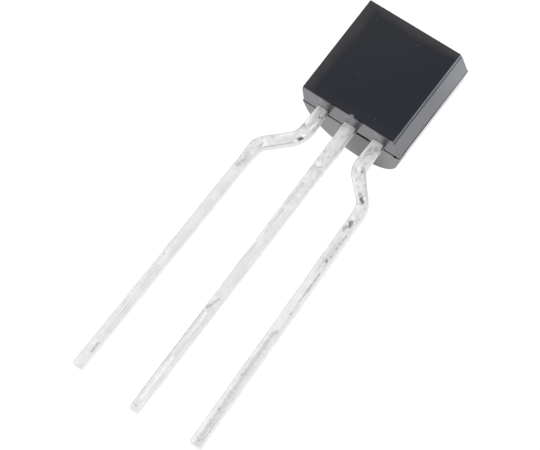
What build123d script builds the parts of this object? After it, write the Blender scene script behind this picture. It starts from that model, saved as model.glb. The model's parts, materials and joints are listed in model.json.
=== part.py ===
from build123d import *
import os
from math import asin, atan2, cos, degrees, hypot, radians, sin, tan

# A three-lead temperature sensor in a D-shaped moulded package with formed leads. Millimetres.
#
# It is modelled upright in the lead frame's own axes and turned into its resting place at the end.
# X runs across the package, +Y up the body, and the leads point along -Y. Z = 0 is the plane where
# the two mould halves meet, which is also the rear surface of the lead frame. +Z faces the flat front.
# At rest it lies on its rounded back and its lead tips, with the flat face up.

# ---- driving dimensions -------------------------------------------------------------------------

# Moulded body
BODY_HEIGHT = 4.35          # along Y, at the parting plane
BODY_WIDTH = 4.48           # across the back half, at the parting plane
FRONT_DEPTH = 1.31          # parting plane to the flat face
BACK_DEPTH = 2.45           # parting plane to the crown of the rounded back
LEFT_FLANK_DRAFT = 6.0      # degrees, left side of the back half before it runs into the round
RIGHT_FLANK_DRAFT = 17.0    # the same, right side
FRONT_SIDE_DRAFT = 4.9      # degrees, side walls of the front half
FRONT_END_DRAFT = 0.9       # degrees, top and bottom of the front half
BACK_END_DRAFT = 1.0        # degrees, top and bottom of the back half
PARTING_STEP = 0.03         # the back half stands proud of the front half by this all round
MOULD_SHIFT = 0.02          # the back mould half closed this far to the left of the front one
LIP_HEIGHT = 0.18           # the flat face stands on a low lip along both sides
LEDGE_WIDTH = 0.03          # ledge beside that lip
BODY_EDGE_RADIUS = 0.04     # outer edges of the moulding
GATE_WIDTH = 0.70           # broken-off moulding gate on the top end, across the body
GATE_DEPTH = 0.34           # the same, from the parting plane towards the flat face
GATE_STUB = 0.05            # how far the gate's stub stands out of the top end

# Lead frame, stamped from one strip
LEAD_THICKNESS = 0.40
LEAD_WIDTH = 0.41
LEAD_EDGE_RADIUS = 0.06
LEAD_PITCH = 1.27           # lead spacing where the leads leave the body
SHOULDER_WIDTH = 0.49       # wider stretch above the cut-off dam bar
SHOULDER_TAPER = 0.15       # length over which the shoulder narrows to the lead
OUTER_SHOULDER_DROP = 0.75  # shoulder length below the body, outer leads
CENTRE_SHOULDER_DROP = 1.95  # shoulder length below the body, centre lead

# Forming of the leads, as the bending tool left each one
GROUND_FIRST_BEND = 1.31    # below the body, where the two centrelines of the first bend cross
GROUND_FIRST_RADIUS = 0.92
GROUND_JOG_ANGLE = 48.0     # degrees from the lead's own direction
GROUND_SPREAD = 2.47        # from the centre lead to the second bend
GROUND_SECOND_RADIUS = 0.62
GROUND_SPLAY = 1.16         # degrees outwards, long stretch below the second bend
GROUND_LENGTH = 13.16       # below the body, to the cut tip
SUPPLY_FIRST_BEND = 1.25
SUPPLY_FIRST_RADIUS = 0.70
SUPPLY_JOG_ANGLE = 45.0
SUPPLY_SPREAD = 2.32
SUPPLY_SECOND_RADIUS = 0.90
SUPPLY_SPLAY = 2.65
SUPPLY_LENGTH = 13.21
SIGNAL_LENGTH = 13.39       # the centre lead runs straight

# Bonding posts and die paddle, inside the moulding
POST_WIDTH = 1.00
POST_HEIGHT = 0.80
POST_START = 1.00           # above the bottom of the body
POST_NOTCH_RADIUS = 0.12    # bite in each post's outer edge that locks it in the moulding
PADDLE_WIDTH = 2.30
PADDLE_START = 2.10         # above the bottom of the body
PADDLE_COVER = 0.65         # moulding left above the paddle

# Sensor die and its wiring
DIE_WIDTH = 1.30
DIE_HEIGHT = 1.00
DIE_THICKNESS = 0.28
ATTACH_THICKNESS = 0.03     # adhesive under the die
ATTACH_MARGIN = 0.06        # adhesive squeezed out round the die
WIRE_DIAMETER = 0.03
WIRE_SIDES = 10             # flats that stand for the hair-thin wire's round section
WIRE_BEND_RADIUS = 0.06
LOOP_HEIGHT = 0.16          # above the die
BALL_DIAMETER = 0.08
BALL_HEIGHT = 0.025
STITCH_DIAMETER = 0.07
STITCH_HEIGHT = 0.012
PAD_INSET = 0.12            # bond pads, in from the die's lower edge
PAD_PITCH = 0.42            # bond pads, along that edge
SIGNAL_STITCH = 1.60        # where the signal wire lands on the centre lead, above the body's bottom

# ---- heights that follow from them ----------------------------------------------------------------

FRAME_TOP = LEAD_THICKNESS
ATTACH_TOP = FRAME_TOP + ATTACH_THICKNESS
DIE_TOP = ATTACH_TOP + DIE_THICKNESS
PADDLE_TOP = BODY_HEIGHT - PADDLE_COVER
DIE_CENTRE_Y = (PADDLE_START + PADDLE_TOP) / 2
PAD_Y = DIE_CENTRE_Y - DIE_HEIGHT / 2 + PAD_INSET
POST_CENTRE_Y = POST_START + POST_HEIGHT / 2


# ---- section carried along a bent route -----------------------------------------------------------

def follow(section, route, normal):
    """Solid of one section carried along a flat route of straight runs and arcs."""
    solid = Part()
    for run in route.edges():
        start = run @ 0
        heading = run % 0
        place = Plane(origin=start, x_dir=normal.cross(heading), z_dir=heading)
        if run.geom_type == GeomType.LINE:
            solid += extrude(place * section, amount=run.length)
        else:
            turn_axis = Axis(run.arc_center, (start - run.arc_center).cross(heading))
            solid += revolve(place * section, axis=turn_axis, revolution_arc=degrees(run.length / run.radius))
    return solid


# ---- moulded body ---------------------------------------------------------------------------------

def front_half():
    """Front mould half: drafted sides with a low lip, drafted ends, flat face."""
    half_width = BODY_WIDTH / 2 - PARTING_STEP
    ledge_z = FRONT_DEPTH - LIP_HEIGHT
    wall_x = half_width - ledge_z * tan(radians(FRONT_SIDE_DRAFT))
    lip_x = wall_x - LEDGE_WIDTH
    face_x = lip_x - LIP_HEIGHT * tan(radians(FRONT_SIDE_DRAFT))
    right = [(half_width, 0), (wall_x, ledge_z), (lip_x, ledge_z), (face_x, FRONT_DEPTH)]
    left = [(-x, z) for x, z in reversed(right)]
    across = make_face(Polyline(*right, *left, close=True))
    low = PARTING_STEP
    high = BODY_HEIGHT - PARTING_STEP
    return crossed_profiles(across, end_profile(low, high, FRONT_DEPTH, FRONT_END_DRAFT))


def back_half():
    """Back mould half: drafted flanks that run into one round back, drafted ends."""
    left = radians(LEFT_FLANK_DRAFT)
    right = radians(RIGHT_FLANK_DRAFT)
    half_width = BODY_WIDTH / 2
    # The round touches both flanks and the crown. Each flank gives one line in its centre and radius.
    left_reach = half_width * cos(left) - BACK_DEPTH * sin(left)
    right_reach = half_width * cos(right) - BACK_DEPTH * sin(right)
    share = cos(left) * (1 - sin(right)) + cos(right) * (1 - sin(left))
    radius = (left_reach * cos(right) + right_reach * cos(left)) / share
    centre_x = (right_reach - radius * (1 - sin(right))) / cos(right)
    centre_z = radius - BACK_DEPTH
    left_end = (centre_x - radius * cos(left), centre_z - radius * sin(left))
    right_end = (centre_x + radius * cos(right), centre_z - radius * sin(right))
    outline = Polyline(left_end, (-half_width, 0), (half_width, 0), right_end)
    outline += ThreePointArc(right_end, (centre_x, -BACK_DEPTH), left_end)
    across = Pos(-MOULD_SHIFT, 0, 0) * make_face(outline)
    return crossed_profiles(across, end_profile(0, BODY_HEIGHT, -BACK_DEPTH, BACK_END_DRAFT))


def end_profile(low, high, depth, draft_angle):
    """Side view of one half in Y and Z: full height at the parting plane, drafted to its depth."""
    inset = abs(depth) * tan(radians(draft_angle))
    return make_face(Polyline((low, 0), (high, 0), (high - inset, depth), (low + inset, depth), close=True))


def crossed_profiles(across, along):
    """Solid that shows the first profile from the end (X, Z) and the second from the side (Y, Z)."""
    end_view = Plane(origin=(0, BODY_HEIGHT, 0), x_dir=(1, 0, 0), z_dir=(0, -1, 0))
    side_view = Plane(origin=(0, 0, 0), x_dir=(0, 1, 0), z_dir=(1, 0, 0))
    prism = extrude(end_view * across, amount=BODY_HEIGHT)
    return prism & extrude(side_view * along, amount=BODY_WIDTH, both=True)


def gate_stub():
    """Stub left on the top end where the moulding was broken off its gate."""
    stub = Box(GATE_WIDTH, GATE_STUB, GATE_DEPTH, align=(Align.CENTER, Align.MAX, Align.MIN))
    return Pos(0, BODY_HEIGHT, 0) * stub


def moulded_body(embedded):
    """Whole moulding, with an exact cavity for everything that it was moulded round."""
    front = front_half()
    front = fillet(front.faces().sort_by(Axis.Z)[-1].edges(), BODY_EDGE_RADIUS / 2)
    back = back_half()
    rims = [edge for edge in back.edges() if edge.center().Z < -BODY_EDGE_RADIUS and edge.geom_type != GeomType.LINE]
    back = fillet(rims, BODY_EDGE_RADIUS)
    body = front + back + gate_stub()
    for piece in embedded:
        body -= piece
    return body


# ---- leads ------------------------------------------------------------------------------------------

def lead_section(width):
    """Lead's cross-section with its edges rounded by stamping and plating."""
    return RectangleRounded(width, LEAD_THICKNESS, LEAD_EDGE_RADIUS)


def across_lead(x, y):
    """Plane square across a straight stretch of lead, facing down it."""
    return Plane(origin=(x, y, LEAD_THICKNESS / 2), x_dir=(1, 0, 0), z_dir=(0, -1, 0))


def shoulder(x, root_y, drop):
    """Wide stretch from inside the body to the dam bar's cut, narrowing to the lead at its end."""
    wide = extrude(across_lead(x, root_y) * lead_section(SHOULDER_WIDTH), amount=root_y + drop)
    taper_start = across_lead(x, -drop) * lead_section(SHOULDER_WIDTH)
    taper_end = across_lead(x, -drop - SHOULDER_TAPER) * lead_section(LEAD_WIDTH)
    return wide + loft([taper_start, taper_end])


def formed_lead(side, first_bend, first_radius, jog_angle, spread, second_radius, splay, length):
    """Outer lead: straight out of the body, jogged outwards, then down to its cut tip."""
    exit_x = side * LEAD_PITCH
    spread_x = side * spread
    second_bend = first_bend + (spread - LEAD_PITCH) / tan(radians(jog_angle))
    tip_x = spread_x + side * (length - second_bend) * tan(radians(splay))
    route = FilletPolyline(
        (exit_x, 0),
        (exit_x, -first_bend),
        (spread_x, -second_bend),
        (tip_x, -length),
        radius=(first_radius, second_radius),
    )
    shank = follow(lead_section(LEAD_WIDTH), Pos(0, 0, LEAD_THICKNESS / 2) * route, Vector(0, 0, 1))
    return shank + shoulder(exit_x, POST_START, OUTER_SHOULDER_DROP) + bonding_post(side)


def straight_lead(length):
    """Centre lead: straight from the die paddle to its cut tip."""
    shank = extrude(across_lead(0, 0) * lead_section(LEAD_WIDTH), amount=length)
    return shank + shoulder(0, PADDLE_START, CENTRE_SHOULDER_DROP) + die_paddle()


def frame_plate(width, height, x, low_y):
    """Flat piece of the stamped lead frame."""
    plate = Box(width, height, LEAD_THICKNESS, align=(Align.CENTER, Align.MIN, Align.MIN))
    return Pos(x, low_y, 0) * plate


def bonding_post(side):
    """Pad at the root of an outer lead, bitten on its outer edge so that it can't pull out."""
    post = frame_plate(POST_WIDTH, POST_HEIGHT, side * LEAD_PITCH, POST_START)
    notch = Cylinder(POST_NOTCH_RADIUS, LEAD_THICKNESS, align=(Align.CENTER, Align.CENTER, Align.MIN))
    return post - Pos(side * (LEAD_PITCH + POST_WIDTH / 2), POST_CENTRE_Y, 0) * notch


def die_paddle():
    """Plate at the root of the centre lead that carries the die."""
    return frame_plate(PADDLE_WIDTH, PADDLE_TOP - PADDLE_START, 0, PADDLE_START)


# ---- die and wiring -----------------------------------------------------------------------------------

def die_layer(margin, low_z, thickness):
    """Rectangular layer on the paddle, the die's outline plus a margin."""
    layer = Box(
        DIE_WIDTH + 2 * margin,
        DIE_HEIGHT + 2 * margin,
        thickness,
        align=(Align.CENTER, Align.CENTER, Align.MIN),
    )
    return Pos(0, DIE_CENTRE_Y, low_z) * layer


def bond_wire(pad_x, stitch_x, stitch_y, landing):
    """Wire from a ball on the die, up and over in one loop, to a stitch on its landing."""
    run_x = stitch_x - pad_x
    run_y = stitch_y - PAD_Y
    span = hypot(run_x, run_y)
    heading = degrees(atan2(run_y, run_x))
    ball_top = DIE_TOP + BALL_HEIGHT
    loop_top = DIE_TOP + LOOP_HEIGHT
    # The loop is drawn in its own upright plane: distance from the pad, then height above the frame.
    upright = Plane(Location((pad_x, PAD_Y, 0), (0, 0, heading)) * Location(Plane.XZ))
    loop = FilletPolyline(
        (0, ball_top),
        (0, loop_top),
        (span / 2, loop_top),
        (span, FRAME_TOP + STITCH_HEIGHT / 2),
        radius=WIRE_BEND_RADIUS,
    )
    wire = follow(RegularPolygon(WIRE_DIAMETER / 2, WIRE_SIDES), upright * loop, upright.z_dir)
    upward = (Align.CENTER, Align.CENTER, Align.MIN)
    ball = Pos(pad_x, PAD_Y, DIE_TOP) * Cylinder(BALL_DIAMETER / 2, BALL_HEIGHT, align=upward)
    stitch = Pos(stitch_x, stitch_y, FRAME_TOP) * Cylinder(STITCH_DIAMETER / 2, STITCH_HEIGHT, align=upward)
    return wire + ball + stitch - landing


# ---- assembly -------------------------------------------------------------------------------------------

def resting_place():
    """Turn that lays the package on the heel of its rounded back and its longest lead, flat face up."""
    draft = radians(BACK_END_DRAFT)
    heel_z = BODY_EDGE_RADIUS - BACK_DEPTH
    heel_y = (BODY_EDGE_RADIUS - heel_z * sin(draft)) / cos(draft)
    reach = heel_y + max(GROUND_LENGTH, SIGNAL_LENGTH, SUPPLY_LENGTH)
    tilt = atan2(-heel_z, reach) + asin(BODY_EDGE_RADIUS / hypot(reach, heel_z))
    return Rot(X=degrees(tilt))


def build_nodes():
    """Every separate piece by its node name, upright in the lead frame's axes."""
    ground_lead = formed_lead(
        -1,
        GROUND_FIRST_BEND,
        GROUND_FIRST_RADIUS,
        GROUND_JOG_ANGLE,
        GROUND_SPREAD,
        GROUND_SECOND_RADIUS,
        GROUND_SPLAY,
        GROUND_LENGTH,
    )
    supply_lead = formed_lead(
        1,
        SUPPLY_FIRST_BEND,
        SUPPLY_FIRST_RADIUS,
        SUPPLY_JOG_ANGLE,
        SUPPLY_SPREAD,
        SUPPLY_SECOND_RADIUS,
        SUPPLY_SPLAY,
        SUPPLY_LENGTH,
    )
    signal_lead = straight_lead(SIGNAL_LENGTH)
    nodes = {
        "ground_lead": ground_lead,
        "signal_lead": signal_lead,
        "supply_lead": supply_lead,
        "die_attach": die_layer(ATTACH_MARGIN, FRAME_TOP, ATTACH_THICKNESS),
        "sensor_die": die_layer(0, ATTACH_TOP, DIE_THICKNESS),
        "ground_bond_wire": bond_wire(-PAD_PITCH, -LEAD_PITCH, POST_CENTRE_Y, ground_lead),
        "signal_bond_wire": bond_wire(0, 0, SIGNAL_STITCH, signal_lead),
        "supply_bond_wire": bond_wire(PAD_PITCH, LEAD_PITCH, POST_CENTRE_Y, supply_lead),
    }
    nodes["moulded_body"] = moulded_body(list(nodes.values()))
    return nodes


def main():
    """Turn every node into its resting place, centre it over the floor and write it."""
    os.makedirs("parts", exist_ok=True)
    turned = {name: resting_place() * shape for name, shape in build_nodes().items()}
    bounds = Compound(list(turned.values())).bounding_box()
    centre = bounds.center()
    for name, shape in turned.items():
        placed = Pos(-centre.X, -centre.Y, -bounds.min.Z) * shape
        export_step(placed, f"parts/{name}.step")


main()
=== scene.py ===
import json
import logging
import math
from dataclasses import dataclass, field
from enum import Enum

import bpy
from mathutils import Matrix, Vector


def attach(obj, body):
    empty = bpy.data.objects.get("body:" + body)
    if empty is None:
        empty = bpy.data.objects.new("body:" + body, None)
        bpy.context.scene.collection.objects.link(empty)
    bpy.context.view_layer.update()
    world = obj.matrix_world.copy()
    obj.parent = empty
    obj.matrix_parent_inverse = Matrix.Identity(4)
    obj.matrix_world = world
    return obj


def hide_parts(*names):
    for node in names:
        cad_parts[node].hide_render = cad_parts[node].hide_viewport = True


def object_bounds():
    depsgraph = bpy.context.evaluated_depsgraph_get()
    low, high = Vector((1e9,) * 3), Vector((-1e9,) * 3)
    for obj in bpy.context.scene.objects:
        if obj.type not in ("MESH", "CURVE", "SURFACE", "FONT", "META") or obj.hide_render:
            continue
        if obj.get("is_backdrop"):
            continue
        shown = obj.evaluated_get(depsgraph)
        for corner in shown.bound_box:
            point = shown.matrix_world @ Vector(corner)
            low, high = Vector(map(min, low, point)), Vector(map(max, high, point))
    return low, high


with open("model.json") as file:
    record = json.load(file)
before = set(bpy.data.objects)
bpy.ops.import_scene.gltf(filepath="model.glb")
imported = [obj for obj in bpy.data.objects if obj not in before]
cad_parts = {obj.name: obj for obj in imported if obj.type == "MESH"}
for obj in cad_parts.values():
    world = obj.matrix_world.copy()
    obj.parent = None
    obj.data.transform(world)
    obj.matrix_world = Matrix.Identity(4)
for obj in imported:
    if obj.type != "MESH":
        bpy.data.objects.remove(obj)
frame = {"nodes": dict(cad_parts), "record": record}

# Types: a colour with its alpha, a place across and along the package, a point in space, a node's
# socket, and all that can feed a shader's input.
Colour = tuple[float, float, float, float]
Spot = tuple[float, float]
Point = tuple[float, float, float]
Socket = bpy.types.NodeSocket
Source = Socket | float | tuple | Vector

MM = 0.001
LEAD_PITCH = 1.27
WHITE: Colour = (1.0, 1.0, 1.0, 1.0)
log = logging.getLogger("temperature_sensor")


# ---- helpers ----


def deselect_everything() -> None:
    """Leave edit mode and clear the selection, so that an operator acts on the new piece alone."""
    if bpy.context.object is not None and bpy.context.object.mode != "OBJECT":
        bpy.ops.object.mode_set(mode="OBJECT")
    bpy.ops.object.select_all(action="DESELECT")


def make_active(piece: bpy.types.Object) -> None:
    """Select one piece and nothing else.

    Args:
        piece: The object that the next operators work on.
    """
    deselect_everything()
    piece.select_set(True)
    bpy.context.view_layer.objects.active = piece


def start_picking(kind: str) -> None:
    """Deselect the whole open mesh and leave it, so that elements of one kind can be picked.

    Args:
        kind: VERT, EDGE or FACE.
    """
    bpy.ops.mesh.select_mode(type=kind)
    bpy.ops.mesh.select_all(action="DESELECT")
    bpy.ops.object.mode_set(mode="OBJECT")


def apply_modifier(piece: bpy.types.Object, kind: str, **settings: object) -> None:
    """Add one modifier to a piece, set it up and apply it.

    Args:
        piece: The object to change.
        kind: Blender's name for the modifier's type.
        settings: The modifier's own settings.
    """
    make_active(piece)
    modifier = piece.modifiers.new(kind.title(), kind)
    for name, value in settings.items():
        setattr(modifier, name, value)
    bpy.ops.object.modifier_apply(modifier=modifier.name)


class ShaderSheet:
    """Adds and joins the nodes of one material."""

    def __init__(self, name: str) -> None:
        """Start an empty material.

        Args:
            name: The material's name.
        """
        self.material = bpy.data.materials.new(name)
        self.material.use_nodes = True
        self.tree = self.material.node_tree
        self.tree.nodes.clear()

    def add(
        self, kind: str, inputs: dict[str | int, Source] | None = None, **settings: object
    ) -> bpy.types.Node:
        """Add one node, set it up and feed its inputs.

        Args:
            kind: The node's type name.
            inputs: Socket name or number to a value, or to another node's output to join it to.
            settings: The node's own settings.

        Returns:
            The new node.
        """
        node = self.tree.nodes.new(kind)
        for name, value in settings.items():
            setattr(node, name, value)
        for socket, value in (inputs or {}).items():
            if isinstance(value, Socket):
                self.tree.links.new(value, node.inputs[socket])
            else:
                node.inputs[socket].default_value = value
        return node

    def math(self, operation: str, first: Source, second: Source = 0.0) -> Socket:
        """Join two numbers with one arithmetic step, such as ADD."""
        return self.add("ShaderNodeMath", {0: first, 1: second}, operation=operation).outputs[0]

    def product(self, first: Source, *others: Source) -> Socket:
        """Multiply numbers or covers together.

        Args:
            first: First number or socket.
            others: The numbers or sockets to multiply it by.

        Returns:
            The product's socket.
        """
        for other in others:
            first = self.math("MULTIPLY", first, other)
        return first

    def vector(self, operation: str, first: Source, second: Source) -> bpy.types.Node:
        """Join two vectors with one arithmetic step, such as SUBTRACT."""
        return self.add("ShaderNodeVectorMath", {0: first, 1: second}, operation=operation)

    def ramp(self, value: Socket, low: float, high: float) -> Socket:
        """Stretch a value so that low gives 0 and high gives 1, with soft ends."""
        inputs = {"Value": value, "From Min": low, "From Max": high}
        return self.add("ShaderNodeMapRange", inputs, interpolation_type="SMOOTHSTEP").outputs["Result"]

    def spread(self, value: Socket, low: Source, high: Source) -> Socket:
        """Turn a value from 0 to 1 into one from low to high."""
        inputs = {"Value": value, "To Min": low, "To Max": high}
        return self.add("ShaderNodeMapRange", inputs).outputs["Result"]

    def mix(self, amount: Source, first: Source, second: Source) -> Socket:
        """Blend two colours, where amount is the share of the second."""
        inputs = {0: amount, 6: first, 7: second}
        return self.add("ShaderNodeMix", inputs, data_type="RGBA").outputs[2]

    def bump(self, height: Socket, depth: float) -> Socket:
        """Turn a height from 0 to 1 into a surface normal; depth is its real depth in metres."""
        return self.add("ShaderNodeBump", {"Height": height, "Distance": depth}).outputs["Normal"]

    def finish(self, **inputs: Source) -> bpy.types.Material:
        """Close the material with one surface shader.

        Args:
            inputs: The shader's inputs, with underscores for the spaces in their names.

        Returns:
            The finished material.
        """
        named = {name.replace("_", " "): value for name, value in inputs.items()}
        shader = self.add("ShaderNodeBsdfPrincipled", named)
        self.add("ShaderNodeOutputMaterial", {"Surface": shader.outputs["BSDF"]})
        return self.material


@dataclass(frozen=True)
class Cloud:
    """Cloudy noise: its features in a unit of place and its octaves of finer cloud."""

    scale: float
    detail: float

    def value(self, sheet: ShaderSheet, place: Socket) -> Socket:
        """Noise between 0 and 1 at a place."""
        inputs = {"Vector": place, "Scale": self.scale, "Detail": self.detail}
        return sheet.add("ShaderNodeTexNoise", inputs).outputs["Fac"]


@dataclass(frozen=True)
class Fade:
    """Cover that is 0 at one value and grows to 1 at another."""

    start: float
    full: float

    def cover(self, sheet: ShaderSheet, value: Socket) -> Socket:
        """Cover from 0 to 1 that the value has."""
        return sheet.ramp(value, self.start, self.full)


@dataclass(frozen=True)
class Band:
    """Cover that is 1 between two values and fades out past them."""

    low: float
    high: float
    soft: float

    def cover(self, sheet: ShaderSheet, value: Socket) -> Socket:
        """Cover from 0 to 1 that the value has."""
        rise = sheet.ramp(value, self.low - self.soft, self.low)
        return sheet.product(rise, sheet.ramp(value, self.high + self.soft, self.high))


# ---- where the package lies ----


@dataclass(frozen=True)
class PackagePlace:
    """Lead frame's own axes as they lie at rest: X across, +Y up the body, +Z out of the flat face.

    The origin is on the plane where the mould halves meet, at the middle of the body's lead end.
    """

    body_height: float = 4.35 * MM
    front_depth: float = 1.31 * MM

    def tilt(self) -> float:
        """Angle in radians by which the flat face leans off level."""
        axis = self.face_mount()["axis"]
        return math.atan2(-axis[1], axis[2])

    def face_mount(self) -> dict:
        """Flat face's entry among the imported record's mounts."""
        return next(mount for mount in frame["record"]["mounts"] if mount["name"] == "front_face")

    def matrix(self) -> Matrix:
        """Find the transform from the lead frame's own axes to the resting place.

        Returns:
            The transform, in metres.
        """
        turn = Matrix.Rotation(self.tilt(), 4, "X")
        face_centre = Vector((0.0, self.body_height / 2, self.front_depth))
        return Matrix.Translation(Vector(self.face_mount()["pos_m"]) - turn @ face_centre) @ turn


class PackageSheet(ShaderSheet):
    """Sheet that knows each point's place in the package's own axes, in millimetres."""

    def __init__(self, name: str, lies: PackagePlace) -> None:
        """Start an empty material and find each point's place.

        Args:
            name: The material's name.
            lies: Where the package lies.
        """
        super().__init__(name)
        inputs = {
            "Vector": self.add("ShaderNodeTexCoord").outputs["Object"],
            "Location": lies.matrix().translation,
            "Rotation": (lies.tilt(), 0.0, 0.0),
            "Scale": (MM, MM, MM),
        }
        self.place = self.add("ShaderNodeMapping", inputs, vector_type="TEXTURE").outputs["Vector"]
        self.x, self.y, self.z = self.add("ShaderNodeSeparateXYZ", {0: self.place}).outputs


# ---- finishes ----


@dataclass(frozen=True)
class LeadEndPaintedShade:
    """Painted shade on the moulding's lead end: dark bands beside each lead for its shadow and dark
    reflection, in the parting groove and along the foot of a wall.

    Places are in the package's own millimetres.
    """

    fray: float = 0.12
    groove_fray: float = 0.5
    lean: float = 0.45
    shift: float = 0.01
    side: Fade = Fade(0.17, 0.03)
    span: Band = Band(-1.3, 2.05, 0.05)
    height: Band = Band(0.0, 1.4, 0.03)
    thinning: Fade = Fade(0.15, 0.5)
    share: float = 0.66
    groove_height: Band = Band(-0.02, 0.10, 0.07)
    groove_span: Band = Band(0.27, 0.70, 0.25)
    groove_share: float = 0.85
    end_reach: Fade = Fade(0.12, 0.06)
    foot_height: Band = Band(0.0, 0.05, 0.03)
    foot_side: Fade = Fade(2.0, 2.1)
    foot_start: Fade = Fade(0.05, 0.30)
    foot_upper: Fade = Fade(3.0, 1.8)
    foot_least: float = 0.45
    foot_share: float = 0.85

    def cover(self, sheet: PackageSheet, rough: Socket) -> Socket:
        """How far the painted shade covers each point.

        Args:
            sheet: The material's sheet.
            rough: Fine noise that frays the edges.

        Returns:
            The cover's socket.
        """
        x, y, z = sheet.x, sheet.y, sheet.z
        fray = sheet.product(sheet.math("SUBTRACT", rough, 0.5), self.fray)
        leaning = sheet.math("SUBTRACT", x, sheet.product(z, self.lean))
        shifted = sheet.math("SUBTRACT", sheet.math("ADD", leaning, fray), self.shift)
        from_lead = sheet.math("PINGPONG", shifted, LEAD_PITCH / 2)
        # Painted shadow and dark reflection of each lead, in a band beside its exit.
        beside = sheet.product(
            self.side.cover(sheet, from_lead),
            self.span.cover(sheet, x),
            self.height.cover(sheet, z),
            self.thinning.cover(sheet, rough),
            self.share,
        )
        # Painted shade along the parting groove between the middle and the supply lead.
        wavy = sheet.math("ADD", z, sheet.product(fray, self.groove_fray))
        groove = sheet.product(
            self.groove_height.cover(sheet, wavy),
            self.groove_share,
            self.groove_span.cover(sheet, x),
        )
        on_end = sheet.math("MAXIMUM", beside, groove)
        on_end = sheet.product(on_end, self.end_reach.cover(sheet, y))
        # Painted shade along the foot of the right wall, by the parting step.
        wall_foot = sheet.product(
            self.foot_height.cover(sheet, z),
            self.foot_side.cover(sheet, x),
            self.foot_start.cover(sheet, y),
            sheet.spread(self.foot_upper.cover(sheet, y), self.foot_least, 1.0),
            self.foot_share,
        )
        return sheet.math("MAXIMUM", on_end, wall_foot)


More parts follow.
